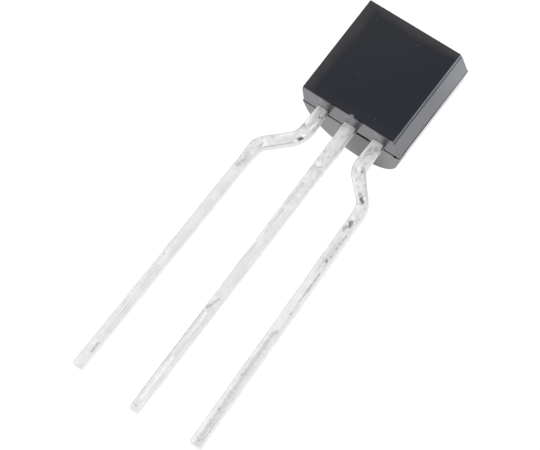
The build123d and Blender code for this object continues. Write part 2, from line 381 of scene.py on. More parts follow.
@dataclass(frozen=True)
class BodyTones:
    """Colours of the moulding zone by zone: the black walls and back half are painted paler than the
    flat face as painted sheen.

    Places are in the package's own millimetres: y from the lead end, z from the mould's parting.
    """

    face: Colour = (0.0050, 0.0070, 0.0170, 1.0)
    face_high: Colour = (0.0105, 0.0120, 0.0175, 1.0)
    face_rim: Colour = (0.032, 0.031, 0.034, 1.0)
    # Walls painted grey as painted sheen, paler towards the top of the body.
    wall: Colour = (0.112, 0.116, 0.134, 1.0)
    wall_top: Colour = (0.185, 0.192, 0.216, 1.0)
    front_end: Colour = (0.044, 0.043, 0.058, 1.0)
    front_left: Colour = (0.066, 0.066, 0.082, 1.0)
    # Painted highlight on the lead end: the leads' reflections above each exit and a low band near the
    # parting line.
    painted_glint: Colour = (0.150, 0.150, 0.160, 1.0)
    # Back half painted paler towards its flanks as painted sheen.
    back_end: Colour = (0.080, 0.079, 0.083, 1.0)
    back_flank: Colour = (0.185, 0.182, 0.192, 1.0)
    ledge: Colour = (0.085, 0.085, 0.092, 1.0)
    drift: float = 0.5
    slope_drift: float = 2.0
    left_rim: Fade = Fade(-1.50, -2.00)
    top_rim: Fade = Fade(3.85, 4.22)
    face_slope: Fade = Fade(0.6, 4.8)
    face_foot: Fade = Fade(0.60, 0.20)
    face_foot_share: float = 0.7
    wall_rise: Fade = Fade(2.4, 4.0)
    end_left: Fade = Fade(-1.1, -1.8)
    # Where the painted reflections of the leads lie on the lead end: their lean with height, width
    # beside each lead, height and span.
    reflection_lean: float = 0.1
    reflection_side: Fade = Fade(0.26, 0.10)
    reflection_height: Band = Band(0.45, 1.10, 0.10)
    reflection_span: Band = Band(-1.6, 1.6, 0.05)
    lip_height: Band = Band(0.06, 0.15, 0.04)
    pale_share: float = 0.9
    end_slope: float = 0.0157
    end_edge: Fade = Fade(0.06, 0.045)
    back_middle: float = 0.45
    back_turn: Fade = Fade(0.3, 1.3)
    front_half: Fade = Fade(-0.02, 0.02)
    ledge_height: Band = Band(-0.004, 0.006, 0.01)
    face_height: Fade = Fade(1.285, 1.305)

    def flat_face(self, sheet: PackageSheet, drift: Socket) -> Socket:
        """Colour of the flat face, paler at its left and top rims.

        Args:
            sheet: The material's sheet.
            drift: Cloudy noise that bends the zones' edges.

        Returns:
            The colour's socket.
        """
        left = self.left_rim.cover(sheet, sheet.math("ADD", sheet.x, drift))
        top = self.top_rim.cover(sheet, sheet.math("ADD", sheet.y, drift))
        slope = sheet.math("SUBTRACT", sheet.y, sheet.x)
        slope = sheet.math("ADD", slope, sheet.product(drift, self.slope_drift))
        colour = sheet.mix(self.face_slope.cover(sheet, slope), self.face, self.face_high)
        foot = sheet.product(self.face_foot.cover(sheet, sheet.y), self.face_foot_share)
        colour = sheet.mix(foot, colour, self.face_high)
        return sheet.mix(sheet.math("MAXIMUM", left, top), colour, self.face_rim)

    def front_walls(self, sheet: PackageSheet, drift: Socket) -> Socket:
        """Colour of the front half's walls, painted paler as painted sheen, with painted reflections of
        the leads above each exit and a painted highlight in a low band across its lead end.

        Args:
            sheet: The material's sheet.
            drift: Cloudy noise that bends the zones' edges.

        Returns:
            The colour's socket.
        """
        x, y, z = sheet.x, sheet.y, sheet.z
        risen = self.wall_rise.cover(sheet, sheet.math("ADD", y, drift))
        sides = sheet.mix(risen, self.wall, self.wall_top)
        end = sheet.mix(self.end_left.cover(sheet, x), self.front_end, self.front_left)
        # Painted reflection of each lead in the glossy lead end above its exit, and a painted highlight
        # in a low band.
        leaning = sheet.math("SUBTRACT", x, sheet.product(z, self.reflection_lean))
        from_lead = sheet.math("PINGPONG", leaning, LEAD_PITCH / 2)
        lead_reflections = sheet.product(
            self.reflection_side.cover(sheet, from_lead),
            self.reflection_height.cover(sheet, z),
            self.reflection_span.cover(sheet, x),
        )
        pale = sheet.math("MAXIMUM", lead_reflections, self.lip_height.cover(sheet, z))
        end = sheet.mix(sheet.product(pale, self.pale_share), end, self.painted_glint)
        past_end = sheet.math("SUBTRACT", y, sheet.product(z, self.end_slope))
        return sheet.mix(self.end_edge.cover(sheet, past_end), sides, end)

    def back_half(self, sheet: PackageSheet, drift: Socket) -> Socket:
        """Colour of the rounded back half, painted paler towards its flanks as painted sheen.

        Args:
            sheet: The material's sheet.
            drift: Cloudy noise that bends the zones' edges.

        Returns:
            The colour's socket.
        """
        off_middle = sheet.math("SUBTRACT", sheet.x, self.back_middle)
        off_middle = sheet.math("ABSOLUTE", sheet.math("ADD", off_middle, drift))
        return sheet.mix(self.back_turn.cover(sheet, off_middle), self.back_end, self.back_flank)

    def colour(self, sheet: PackageSheet, clouds: Socket) -> tuple[Socket, Socket]:
        """Colour of the whole moulding.

        Args:
            sheet: The material's sheet.
            clouds: Broad cloudy noise.

        Returns:
            The colour's socket and the flat face's cover.
        """
        drift = sheet.product(sheet.math("SUBTRACT", clouds, 0.5), self.drift)
        back, front = self.back_half(sheet, drift), self.front_walls(sheet, drift)
        colour = sheet.mix(self.front_half.cover(sheet, sheet.z), back, front)
        colour = sheet.mix(self.ledge_height.cover(sheet, sheet.z), colour, self.ledge)
        on_face = self.face_height.cover(sheet, sheet.z)
        return sheet.mix(on_face, colour, self.flat_face(sheet, drift)), on_face


@dataclass(frozen=True)
class MouldCompound:
    """Black filled epoxy: dark satin flat face, walls painted greyer as painted sheen, filler specks,
    and painted shade by the leads.
    """

    place: PackagePlace
    tones: BodyTones = BodyTones()
    painted_shade: LeadEndPaintedShade = LeadEndPaintedShade()
    speck: Colour = (0.13, 0.14, 0.16, 1.0)
    # Colour of the painted shade by the leads, in the groove and on the parting line.
    painted_shade_colour: Colour = (0.006, 0.006, 0.008, 1.0)
    clouds: Cloud = Cloud(1.1, 5.0)
    fray: Cloud = Cloud(7.0, 3.0)
    grain: Cloud = Cloud(30.0, 3.0)
    grain_depth: float = 0.0012
    mottle: Cloud = Cloud(12.0, 3.0)
    mottling: Fade = Fade(0.45, 0.8)
    mottle_share: float = 0.25
    face_mottle: float = 0.10
    speck_scale: float = 1.9
    speck_edge: Fade = Fade(0.045, 0.025)
    # A pale spot on the flat face's edge above the middle lead, in the back flank's tone.
    pale_spot: Point = (0.17, 0.04, 1.31)
    pale_spot_edge: Fade = Fade(0.14, 0.04)
    # Painted shade: a dark spot on the parting line near the right end of the lead end.
    parting_shade_spot: Point = (2.0, 0.0, -0.03)
    parting_shade_edge: Fade = Fade(0.10, 0.05)
    wall_index: float = 1.55
    face_index: float = 1.35
    # Lower index where shade is painted, so that it reflects less.
    painted_shade_index: float = 1.06
    smooth: float = 0.17
    rough: float = 0.27
    back_extra: float = 0.22
    back_half: Fade = Fade(0.02, -0.02)
    glossy_side: Fade = Fade(1.9, 2.15)
    glossy_length: Fade = Fade(0.1, 0.9)
    gloss: float = 0.9

    def spotted(self, sheet: PackageSheet, colour: Socket, on_face: Socket) -> Socket:
        """Lay filler mottle, specks and a pale spot at the flat face's edge over the body's colour.

        Args:
            sheet: The material's sheet.
            colour: The body's colour.
            on_face: The flat face's cover.

        Returns:
            The new colour's socket.
        """
        mottle = self.mottling.cover(sheet, self.mottle.value(sheet, sheet.place))
        mottle = sheet.product(mottle, self.mottle_share)
        share = sheet.spread(on_face, 1.0, self.face_mottle)
        colour = sheet.mix(sheet.product(mottle, share), colour, self.speck)
        inputs = {"Vector": sheet.place, "Scale": self.speck_scale}
        cells = sheet.add("ShaderNodeTexVoronoi", inputs).outputs["Distance"]
        specks = self.speck_edge.cover(sheet, cells)
        colour = sheet.mix(specks, colour, self.speck)
        pale_spot = sheet.vector("DISTANCE", sheet.place, self.pale_spot).outputs["Value"]
        return sheet.mix(self.pale_spot_edge.cover(sheet, pale_spot), colour, self.tones.back_flank)

    def shine(
        self, sheet: PackageSheet, clouds: Socket, on_face: Socket, painted_shade: Socket
    ) -> tuple[Socket, Socket]:
        """Roughness and refractive index: duller on the back half, glossy on its right flank.

        Args:
            sheet: The material's sheet.
            clouds: Broad cloudy noise.
            on_face: The flat face's cover.
            painted_shade: Cover of the painted shade.

        Returns:
            The roughness socket and the index socket.
        """
        index = sheet.spread(on_face, self.wall_index, self.face_index)
        index = sheet.spread(painted_shade, index, self.painted_shade_index)
        behind = self.back_half.cover(sheet, sheet.z)
        side, length = self.glossy_side.cover(sheet, sheet.x), self.glossy_length.cover(sheet, sheet.y)
        flank = sheet.product(side, length)
        dull = sheet.product(behind, sheet.math("SUBTRACT", 1.0, flank))
        polish = sheet.product(sheet.math("SUBTRACT", behind, dull), self.gloss)
        roughness = sheet.spread(clouds, self.smooth, self.rough)
        roughness = sheet.math("ADD", roughness, sheet.product(dull, self.back_extra))
        roughness = sheet.product(roughness, sheet.math("SUBTRACT", 1.0, polish))
        return roughness, sheet.math("ADD", index, polish)

    def material(self) -> bpy.types.Material:
        """Build the material.

        Returns:
            The finished material.
        """
        sheet = PackageSheet("mould_compound", self.place)
        clouds = self.clouds.value(sheet, sheet.place)
        colour, on_face = self.tones.colour(sheet, clouds)
        colour = self.spotted(sheet, colour, on_face)
        # Painted shade beside the leads, in the parting groove, at the foot of the right wall and on
        # the parting line.
        painted_shade = self.painted_shade.cover(sheet, self.fray.value(sheet, sheet.place))
        parting_shade_spot = sheet.vector("DISTANCE", sheet.place, self.parting_shade_spot).outputs["Value"]
        painted_shade = sheet.math("MAXIMUM", painted_shade, self.parting_shade_edge.cover(sheet, parting_shade_spot))
        roughness, index = self.shine(sheet, clouds, on_face, painted_shade)
        return sheet.finish(
            Base_Color=sheet.mix(painted_shade, colour, self.painted_shade_colour),
            Roughness=roughness,
            IOR=index,
            Normal=sheet.bump(self.grain.value(sheet, sheet.place), self.grain_depth * MM),
        )


class Tone(Enum):
    """Colours of the marks on tin: wear, and painted highlights and painted shade."""

    # Painted shade on each lead's side by the body, and small dark spots.
    SOOT = (0.045, 0.045, 0.05, 1.0)
    LEAD_GREY = (0.24, 0.24, 0.25, 1.0)
    SCUFF = (0.42, 0.42, 0.42, 1.0)
    HAZE = (0.58, 0.58, 0.585, 1.0)
    # Painted highlights along lead edges, and small bright spots.
    BRIGHT = (0.97, 0.97, 0.97, 1.0)


@dataclass(frozen=True)
class Mark:
    """One stroke on a lead, in the package's own millimetres: worn, scuffed, burnished, or a painted
    highlight or painted shade.

    It runs from start to end, which differ, at one height above the lead's back. Rag frays its edge.
    """

    start: Spot
    end: Spot
    radius: float
    tone: Tone
    strength: float = 1.0
    rag: float = 0.6
    height: float = 0.38
    core: float = 0.15
    rim: float = 1.35
    fray: float = 2.6

    def cover(self, sheet: PackageSheet, rough: Socket) -> Socket:
        """How far the mark covers each point, with a ragged edge.

        Args:
            sheet: The material's sheet.
            rough: Fine noise that frays the mark's edge.

        Returns:
            The cover's socket, 0 to 1.
        """
        start = Vector((*self.start, self.height))
        run = Vector((*self.end, self.height)) - start
        offset = sheet.vector("SUBTRACT", sheet.place, start).outputs["Vector"]
        share = sheet.vector("DOT_PRODUCT", offset, run / run.length_squared).outputs["Value"]
        clamped = sheet.add("ShaderNodeClamp", {"Value": share}).outputs["Result"]
        inputs = {0: run, "Scale": clamped}
        along = sheet.add("ShaderNodeVectorMath", inputs, operation="SCALE").outputs["Vector"]
        away = sheet.vector("DISTANCE", offset, along).outputs["Value"]
        centred = sheet.math("SUBTRACT", rough, 0.5)
        frayed = sheet.product(centred, self.radius * self.rag * self.fray)
        away = sheet.math("ADD", away, frayed)
        edge = sheet.ramp(away, self.radius * self.rim, self.radius * self.core)
        return sheet.product(edge, self.strength)


@dataclass(frozen=True)
class TinPlate:
    """Bright tin on a stamped lead: soft pale metal with drawing lines, dull patches and marks."""

    place: PackagePlace
    name: str
    marks: tuple[Mark, ...] = ()
    bright: Colour = (0.79, 0.79, 0.785, 1.0)
    dull: Colour = (0.71, 0.71, 0.71, 1.0)
    mottle: Cloud = Cloud(2.2, 5.0)
    dulling: Fade = Fade(0.30, 0.72)
    lines: Cloud = Cloud(1.0, 3.0)
    line_stretch: Point = (14.0, 0.7, 14.0)
    streaks: Fade = Fade(0.48, 0.80)
    streak_share: float = 0.30
    blotches: Cloud = Cloud(6.5, 6.0)
    blotching: Fade = Fade(0.42, 0.74)
    wear_rise: Fade = Fade(-5.5, -1.5)
    wear_high: float = 0.42
    wear_low: float = 0.06
    # Sides of the lead painted paler than its front as painted light.
    flank: Fade = Fade(0.37, 0.31)
    flank_share: float = 0.38
    fray: Cloud = Cloud(11.0, 4.0)
    grain: Cloud = Cloud(16.0, 3.0)
    grain_share: float = 0.2
    line_share: float = 0.8
    relief: float = 0.004
    smooth: float = 0.38
    rough: float = 0.52
    metallic: float = 0.8
    matt_rise: Fade = Fade(-1.3, -0.5)
    matt_share: float = 0.5

    def colour(self, sheet: PackageSheet, mottle: Socket, lines: Socket) -> Socket:
        """Colour of the tin with its streaks, blotches, sides painted paler as painted light, and
        marks.

        Args:
            sheet: The material's sheet.
            mottle: Broad cloudy noise.
            lines: Noise drawn out along the leads.

        Returns:
            The colour's socket.
        """
        colour = sheet.mix(self.dulling.cover(sheet, mottle), self.bright, self.dull)
        streaks = sheet.product(self.streaks.cover(sheet, lines), self.streak_share)
        colour = sheet.mix(streaks, colour, Tone.HAZE.value)
        blotch = self.blotching.cover(sheet, self.blotches.value(sheet, sheet.place))
        worn = sheet.product(self.wear_rise.cover(sheet, sheet.y), self.wear_high)
        worn = sheet.math("ADD", worn, self.wear_low)
        colour = sheet.mix(sheet.product(blotch, worn), colour, Tone.SCUFF.value)
        flank = sheet.product(self.flank.cover(sheet, sheet.z), self.flank_share)
        colour = sheet.mix(flank, colour, Tone.BRIGHT.value)
        fray = self.fray.value(sheet, sheet.place)
        for mark in self.marks:
            colour = sheet.mix(mark.cover(sheet, fray), colour, mark.tone.value)
        return colour

    def material(self) -> bpy.types.Material:
        """Build the material.

        Returns:
            The finished material.
        """
        sheet = PackageSheet(self.name, self.place)
        mottle = self.mottle.value(sheet, sheet.place)
        inputs = {"Vector": sheet.place, "Scale": self.line_stretch}
        lines = self.lines.value(sheet, sheet.add("ShaderNodeMapping", inputs).outputs["Vector"])
        matt = sheet.product(self.matt_rise.cover(sheet, sheet.y), self.matt_share)
        grain = sheet.product(self.grain.value(sheet, sheet.place), self.grain_share)
        relief = sheet.math("ADD", sheet.product(lines, self.line_share), grain)
        return sheet.finish(
            Base_Color=self.colour(sheet, mottle, lines),
            Metallic=sheet.math("SUBTRACT", self.metallic, matt),
            Roughness=sheet.spread(mottle, self.smooth, self.rough),
            Normal=sheet.bump(relief, self.relief * MM),
        )


@dataclass(frozen=True)
class InnerFinish:
    """Finish of a piece sealed inside the moulding: one tone clouded by another."""

    place: PackagePlace
    name: str
    first: Colour
    second: Colour
    metallic: float
    roughness: float
    clouds: Cloud
    relief: float = 0.001

    def material(self) -> bpy.types.Material:
        """Build the material.

        Returns:
            The finished material.
        """
        sheet = PackageSheet(self.name, self.place)
        clouds = self.clouds.value(sheet, sheet.place)
        return sheet.finish(
            Base_Color=sheet.mix(clouds, self.first, self.second),
            Metallic=self.metallic,
            Roughness=self.roughness,
            Normal=sheet.bump(clouds, self.relief * MM),
        )


@dataclass(frozen=True)
class PalePaper:
    """Plain white card of the studio floor, lit through from below so that no shadow shows."""

    first: Colour = (0.040, 0.040, 0.040, 1.0)
    second: Colour = (0.044, 0.044, 0.044, 1.0)
    clouds: Cloud = Cloud(400.0, 2.0)
    roughness: float = 0.9
    specular: float = 0.1
    glow: float = 1.0

    def material(self) -> bpy.types.Material:
        """Build the material.

        Returns:
            The finished material.
        """
        sheet = ShaderSheet("pale_card")
        place = sheet.add("ShaderNodeTexCoord").outputs["Object"]
        return sheet.finish(
            Base_Color=sheet.mix(self.clouds.value(sheet, place), self.first, self.second),
            Roughness=self.roughness,
            Specular_IOR_Level=self.specular,
            Emission_Color=WHITE,
            Emission_Strength=self.glow,
        )


# ---- leads ----


@dataclass(frozen=True)
class Stock:
    """Lead frame strip that every lead is stamped from, in millimetres.

    Steps are the sections drawn in a run. Each ripple is the size and the height of one set of waves.
    """

    thickness: float = 0.40
    width: float = 0.41
    shoulder_width: float = 0.455
    taper: float = 0.25
    step: float = 0.15
    root_step: float = 0.02
    tip_bevel: float = 0.03
    corners: int = 4
    root_steps: int = 2
    taper_steps: int = 2
    neck_steps: int = 4
    bend_steps: int = 7
    edge_segments: int = 3
    tip_segments: int = 2
    weld: float = 0.0005
    refinement: int = 2
    ripples: tuple[tuple[float, float], ...] = ((0.9, 0.030), (0.22, 0.008))


@dataclass(frozen=True)
class Dent:
    """A knock in a lead's front, in the package's own millimetres.

    Core is the share of the reach that is pressed in full, and skin how deep below the front that goes.
    """

    spot: Spot
    depth: float
    reach: float
    core: float = 0.25
    skin: float = 0.06


@dataclass(kw_only=True)
class Lead:
    """One lead: its root in the moulding, its shoulder and the run down to the cut tip."""

    place: PackagePlace
    node: str
    exit_x: float
    root_width: float
    root_low: float
    root_high: float
    length: float
    edge_radius: float
    marks: tuple[Mark, ...]
    dents: tuple[Dent, ...]
    end_twist: float = 0.0
    end_width: float = 1.0
    stock: Stock = Stock()
    shoulder_drop: float = 1.95
    spot: Vector = field(default_factory=Vector)
    heading: float = 0.0

    def direction(self) -> Vector:
        """Unit vector down the lead at its present end; heading is the angle from -Y towards +X."""
        return Vector((math.sin(self.heading), -math.cos(self.heading), 0.0))

    def advance(self, length: float, steps: int = 0, width: float = 1.0, turn: float = 0.0) -> None:
        """Extrude the open end straight on.

        Args:
            length: How far, in all.
            steps: Number of equal extrusions, or 0 to follow the stock's own step.
            width: Share by which the section's width changes over the whole length.
            turn: Twist in degrees over the whole length.
        """
        steps = steps or max(1, round(length / self.stock.step))
        for _ in range(steps):
            move = self.direction() * (length / steps)
            bpy.ops.mesh.extrude_region_move(TRANSFORM_OT_translate={"value": move})
            self.spot = self.spot + move
            if width != 1.0:
                share = width ** (1.0 / steps)
                bpy.ops.transform.resize(value=(share, share, 1.0), center_override=self.spot)
            if turn:
                angle = -math.radians(turn / steps)
                bpy.ops.transform.rotate(value=angle, orient_axis="Y", center_override=self.spot)

    def bend(self, radius: float, angle: float) -> None:
        """Carry the open end round a bend.

        Args:
            radius: Radius of the lead's middle line.
            angle: Turn in radians, positive towards +X when heading down.
        """
        sign = math.copysign(1.0, angle)
        down = self.direction()
        inward = Vector((-down.y, down.x, 0.0)) * sign
        centre = self.spot + inward * radius
        steps = self.stock.bend_steps
        # The operator counts its angle the other way round from Matrix.Rotation.
        bpy.ops.mesh.spin(steps=steps, angle=-angle, center=centre, axis=(0.0, 0.0, 1.0))
        self.spot = centre - Matrix.Rotation(angle, 3, "Z") @ inward * radius
        self.heading += angle

    def start(self) -> None:
        """Lay the root's first section and draw the root down to the body's lead end."""
        stock = self.stock
        deselect_everything()
        self.spot = Vector((self.exit_x, self.root_high, stock.thickness / 2))
        upright = (math.pi / 2, 0.0, 0.0)
        bpy.ops.mesh.primitive_plane_add(size=1.0, location=self.spot, rotation=upright)
        piece = bpy.context.object
        piece.name = self.node + "_formed"
        piece.scale = (self.root_width, stock.thickness, 1.0)
        bpy.ops.object.transform_apply(location=True, rotation=True, scale=True)
        bpy.ops.object.mode_set(mode="EDIT")
        bpy.ops.mesh.select_mode(type="FACE")
        bpy.ops.mesh.select_all(action="SELECT")
        self.advance(self.root_high - self.root_low, stock.root_steps)
        self.advance(stock.root_step, 1, stock.shoulder_width / self.root_width)
        self.advance(self.root_low - stock.root_step)

    def trace(self) -> None:
        """Draw the shoulder, its taper and the run to the tip."""
        stock = self.stock
        self.advance(self.shoulder_drop)
        self.advance(stock.taper, stock.taper_steps, stock.width / stock.shoulder_width)
        self.advance(self.length + self.spot.y, 0, self.end_width, self.end_twist)

    def round_edges(self, piece: bpy.types.Object) -> None:
        """Roll the long edges over and break the tip's edges.

        Args:
            piece: The drawn lead.
        """
        stock = self.stock
        start_picking("EDGE")
        # Vertices are numbered section by section, so a long edge joins two different sections.
        for edge in piece.data.edges:
            first, second = (vertex // stock.corners for vertex in edge.vertices)
            edge.select = first != second
        bpy.ops.object.mode_set(mode="EDIT")
        bpy.ops.mesh.bevel(offset=self.edge_radius, segments=stock.edge_segments, affect="EDGES")
        start_picking("FACE")
        tip = min(piece.data.polygons, key=lambda face: face.center.y)
        tip.select = True
        bpy.ops.object.mode_set(mode="EDIT")
        bpy.ops.mesh.bevel(offset=stock.tip_bevel, segments=stock.tip_segments, affect="EDGES")
        bpy.ops.mesh.select_all(action="SELECT")
        bpy.ops.mesh.remove_doubles(threshold=stock.weld)
        bpy.ops.mesh.normals_make_consistent(inside=False)
        bpy.ops.object.mode_set(mode="OBJECT")

    def ripple(self, piece: bpy.types.Object) -> None:
        """Refine the lead and give its faces the slight unevenness of plated strip.

        Args:
            piece: The drawn lead.
        """
        levels = self.stock.refinement
        apply_modifier(piece, "SUBSURF", levels=levels, render_levels=levels)
        for size, height in self.stock.ripples:
            clouds = bpy.data.textures.new(self.node + "_ripple", "CLOUDS")
            clouds.noise_scale = size
            apply_modifier(piece, "DISPLACE", texture=clouds, strength=height, mid_level=0.5)

    def pick_core(self, piece: bpy.types.Object, dent: Dent) -> None:
        """Open the mesh for editing with only the vertices in one dent's core selected.

        Args:
            piece: The refined lead.
            dent: The dent to be pressed.
        """
        make_active(piece)
        bpy.ops.object.mode_set(mode="EDIT")
        start_picking("VERT")
        middle, reach = Vector(dent.spot), dent.reach * dent.core
        for vertex in piece.data.vertices:
            near = (vertex.co.xy - middle).length < reach
            vertex.select = near and vertex.co.z > self.stock.thickness - dent.skin
        bpy.ops.object.mode_set(mode="EDIT")

    def knock(self, piece: bpy.types.Object) -> None:
        """Press the dents into the lead's front.

        Args:
            piece: The refined lead.
        """
        for dent in self.dents:
            self.pick_core(piece, dent)
            bpy.ops.transform.translate(
                value=(0.0, 0.0, -dent.depth),
                use_proportional_edit=True,
                proportional_edit_falloff="SMOOTH",
                proportional_size=dent.reach,
            )
            bpy.ops.object.mode_set(mode="OBJECT")

    def build(self) -> bpy.types.Object:
        """Make the lead and set it in its resting place.

        Returns:
            The finished piece.
        """
        self.start()
        piece = bpy.context.object
        self.trace()
        self.round_edges(piece)
        self.ripple(piece)
        self.knock(piece)
        make_active(piece)
        piece.matrix_world = self.place.matrix() @ Matrix.Scale(MM, 4)
        bpy.ops.object.transform_apply(location=True, rotation=True, scale=True)
        bpy.ops.object.shade_smooth()
        piece.data.materials.append(TinPlate(self.place, self.node + "_tin", self.marks).material())
        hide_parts(self.node)
        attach(piece, "root")
        log.info("built %s with %d faces", piece.name, len(piece.data.polygons))
        return piece


@dataclass(kw_only=True)
class OuterLead(Lead):
    """Outer lead, jogged outwards by a forming tool. Jog, splay and twist are in degrees."""

    side: int
    twist: float
    first_bend: float
    first_radius: float
    jog: float
    spread: float
    second_radius: float
    splay: float
    root_width: float = 1.00
    root_low: float = 1.00
    root_high: float = 1.80
    bend_width: float = 0.50
    jog_width: float = 0.50

    def trace(self) -> None:
        """Draw both bends, the run between them and the long run to the tip."""
        stock = self.stock
        jog, splay = math.radians(self.jog), math.radians(self.splay)
        offset = self.spread - abs(self.exit_x)
        second_bend = self.first_bend + offset / math.tan(jog)
        first_cut = self.first_radius * math.tan(jog / 2)
        second_cut = self.second_radius * math.tan((jog - splay) / 2)
        between = offset / math.sin(jog) - first_cut - second_cut
        above = self.first_bend - first_cut + self.spot.y
        self.advance(above, stock.neck_steps, self.bend_width / stock.shoulder_width)
        self.bend(self.first_radius, self.side * jog)
        self.advance(between, 0, self.jog_width / self.bend_width, self.twist)
        self.bend(self.second_radius, -self.side * (jog - splay))
        self.advance(stock.taper, stock.taper_steps, stock.width / self.jog_width)
        below = (self.length - second_bend) / math.cos(splay) - second_cut - stock.taper
        self.advance(below, 0, self.end_width, self.end_twist)


# ---- marks that the leads carry ----

# Height of the strokes on each lead's side by the body, which are painted shade.
SIDE_HEIGHT = 0.22
GROUND_MARKS = (
    # Painted shade on the lead's side at the body.
    Mark((-1.01, 0.05), (-1.02, -0.05), 0.13, Tone.SOOT, 0.9, 0.2, SIDE_HEIGHT),
    Mark((-1.17, -0.33), (-1.15, -0.36), 0.045, Tone.SOOT),
    Mark((-1.06, -0.30), (-1.05, -0.33), 0.040, Tone.SOOT),
    Mark((-1.24, -0.12), (-1.27, -0.90), 0.08, Tone.SCUFF, 0.45, 1.2),
    Mark((-1.36, -0.92), (-1.46, -1.04), 0.07, Tone.SCUFF, 0.45, 1.2),
    # Painted highlight along the lead's left edge near the body.
    Mark((-1.46, -0.02), (-1.43, -0.78), 0.060, Tone.BRIGHT, 1.0, 0.5),
    Mark((-1.46, -0.92), (-1.58, -1.08), 0.09, Tone.LEAD_GREY, 0.55, 1.2),
    # Painted shade and painted highlight: a fine dark line and a light strip along the lead's right
    # edge near the body.
    Mark((-1.12, -0.42), (-1.24, -0.92), 0.020, Tone.LEAD_GREY, 0.75, 0.4),
    Mark((-1.06, -0.46), (-1.18, -0.94), 0.035, Tone.BRIGHT, 0.85, 0.4),
    Mark((-1.27, -1.46), (-1.21, -1.37), 0.085, Tone.SOOT, 0.95, 0.5),
    Mark((-1.35, -1.62), (-1.30, -1.57), 0.055, Tone.BRIGHT, 0.9, 0.4),
    Mark((-1.62, -1.42), (-1.95, -1.72), 0.08, Tone.BRIGHT, 0.5, 1.2),
    Mark((-2.29, -2.32), (-2.35, -2.52), 0.04, Tone.LEAD_GREY, 0.45, 1.2),
    Mark((-2.20, -2.02), (-2.10, -1.92), 0.04, Tone.SCUFF, 0.6, 1.2),
    Mark((-2.46, -3.15), (-2.55, -3.53), 0.10, Tone.SCUFF, 0.6, 1.2),
    Mark((-2.67, -7.86), (-2.67, -7.90), 0.03, Tone.LEAD_GREY, 0.8),
    Mark((-2.66, -7.83), (-2.70, -11.35), 0.022, Tone.LEAD_GREY, 0.55, 0.6),
    Mark((-2.61, -7.20), (-2.65, -10.80), 0.025, Tone.BRIGHT, 0.7, 0.6),
    Mark((-2.60, -8.40), (-2.58, -11.60), 0.045, Tone.HAZE, 0.5, 0.8),
    Mark((-2.55, -12.04), (-2.55, -12.46), 0.045, Tone.LEAD_GREY, 0.55, 1.1),
)
SIGNAL_MARKS = (
    # Painted shade on the lead's side at the body.
    Mark((0.26, 0.05), (0.25, -0.03), 0.12, Tone.SOOT, 0.9, 0.2, SIDE_HEIGHT),
    Mark((0.12, -0.04), (0.15, -0.34), 0.07, Tone.SCUFF, 0.45, 1.2),
    # Painted highlight along the lead's left edge near the body.
    Mark((-0.28, 0.00), (-0.27, -0.85), 0.060, Tone.BRIGHT, 1.0, 0.5),
    Mark((-0.04, -2.03), (0.12, -1.90), 0.045, Tone.LEAD_GREY, 0.4, 1.0),
    Mark((-0.10, -1.55), (0.02, -1.75), 0.06, Tone.SCUFF, 0.35, 1.2),
    Mark((-0.08, -2.77), (-0.05, -5.23), 0.032, Tone.LEAD_GREY, 0.46, 0.8),
    Mark((-0.08, -5.60), (-0.07, -7.80), 0.032, Tone.SCUFF, 0.65, 0.8),
    Mark((-0.18, -5.62), (-0.18, -5.68), 0.05, Tone.BRIGHT, 1.0, 0.4),
    Mark((-0.06, -8.72), (0.10, -8.25), 0.06, Tone.LEAD_GREY, 0.5, 1.1),
    Mark((-0.09, -8.92), (-0.07, -13.2), 0.055, Tone.SCUFF, 0.5, 0.6),
    Mark((0.05, -8.95), (0.09, -10.1), 0.05, Tone.BRIGHT, 0.65, 0.8),
    Mark((0.13, -9.6), (0.12, -10.9), 0.06, Tone.HAZE, 0.4, 0.8),
    Mark((0.09, -11.0), (0.10, -12.9), 0.07, Tone.BRIGHT, 0.6, 0.8),
    Mark((-0.12, -13.22), (0.12, -13.22), 0.04, Tone.LEAD_GREY, 0.6, 0.5),
)
